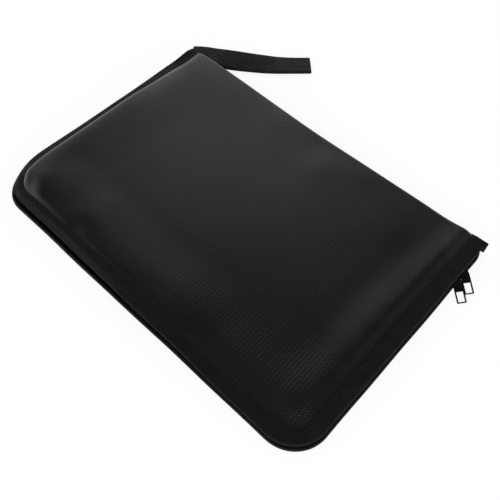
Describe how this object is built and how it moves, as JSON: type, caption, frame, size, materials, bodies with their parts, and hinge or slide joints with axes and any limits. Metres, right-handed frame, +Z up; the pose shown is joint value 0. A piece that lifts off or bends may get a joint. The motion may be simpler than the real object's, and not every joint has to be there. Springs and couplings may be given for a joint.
{
  "type": "zip-around battery pouch",
  "caption": "Flat fire-resistant cloth pouch that opens like a book, closed on three sides by a zip with metal pulls, with bound edges and a webbing wrist loop.",
  "frame": {"origin": "centre of the base's underside, on the surface the pouch lies on", "axes": "+X along the spine towards the end with the sliders, +Y from the front zip edge to the spine, +Z up"},
  "size_m": [0.3582, 0.3152, 0.0183],
  "materials": {
    "outer_cloth": "satin silicone-coated glass cloth",
    "lining": "dull aluminised glass cloth",
    "binding": "ribbed woven tape",
    "zip_tape": "twill tape",
    "zip_coil": "nylon coil",
    "zip_metal": "black enamel",
    "webbing": "ribbed webbing"
  },
  "bodies": {
    "base": {"base_cloth": "outer_cloth", "base_lining": "lining", "base_binding": "binding", "spine_cloth": "outer_cloth", "spine_end_bindings": "binding", "lower_zip_tape": "zip_tape", "lower_zip_coil": "zip_coil", "lower_end_stops": "zip_metal", "strap_anchor": "webbing"},
    "cover": {"cover_cloth": "outer_cloth", "cover_lining": "lining", "cover_binding": "binding", "upper_zip_tape": "zip_tape", "upper_zip_coil": "zip_coil", "upper_end_stops": "zip_metal"},
    "slider_1": {"slider_body_1": "zip_metal", "slider_bail_1": "zip_metal"},
    "link_1": {"pull_link_1": "zip_metal"},
    "pull_1": {"pull_tab_1": "zip_metal"},
    "slider_2": {"slider_body_2": "zip_metal", "slider_bail_2": "zip_metal"},
    "link_2": {"pull_link_2": "zip_metal"},
    "pull_2": {"pull_tab_2": "zip_metal"},
    "strap": {"wrist_strap": "webbing"}
  },
  "joints": [
    {"name": "cover_fold", "type": "hinge", "parent": "base", "child": "cover", "pos_m": [0, 0.1155, 0.0133], "axis": [-1, 0, 0], "range_deg": [0, 175]},
    {"name": "slider_1_travel", "type": "slide", "parent": "base", "child": "slider_1", "axis": [0, 1, 0], "range_m": [0, 0.008]},
    {"name": "slider_2_travel", "type": "slide", "parent": "base", "child": "slider_2", "axis": [0, -1, 0], "range_m": [0, 0.15]},
    {"name": "link_1_swing", "type": "hinge", "parent": "slider_1", "child": "link_1", "pos_m": [0.16355, 0.0886, 0.0069], "axis": [0, 0, 1], "range_deg": [0, 85]},
    {"name": "link_2_swing", "type": "hinge", "parent": "slider_2", "child": "link_2", "pos_m": [0.16355, 0.0779, 0.0069], "axis": [0, 0, 1], "range_deg": [-10, 0]},
    {"name": "pull_1_lift", "type": "hinge", "parent": "link_1", "child": "pull_1", "pos_m": [0.16666, 0.08617, 0.0069], "axis": [-0.6157, -0.788, 0], "range_deg": [0, 38]},
    {"name": "pull_2_lift", "type": "hinge", "parent": "link_2", "child": "pull_2", "pos_m": [0.16666, 0.07547, 0.0069], "axis": [-0.6157, -0.788, 0], "range_deg": [0, 38]},
    {"name": "strap_swing", "type": "hinge", "parent": "base", "child": "strap", "pos_m": [-0.162, 0.1297, 0.0026], "axis": [0, 0, 1], "range_deg": [-30, 100]}
  ]
}
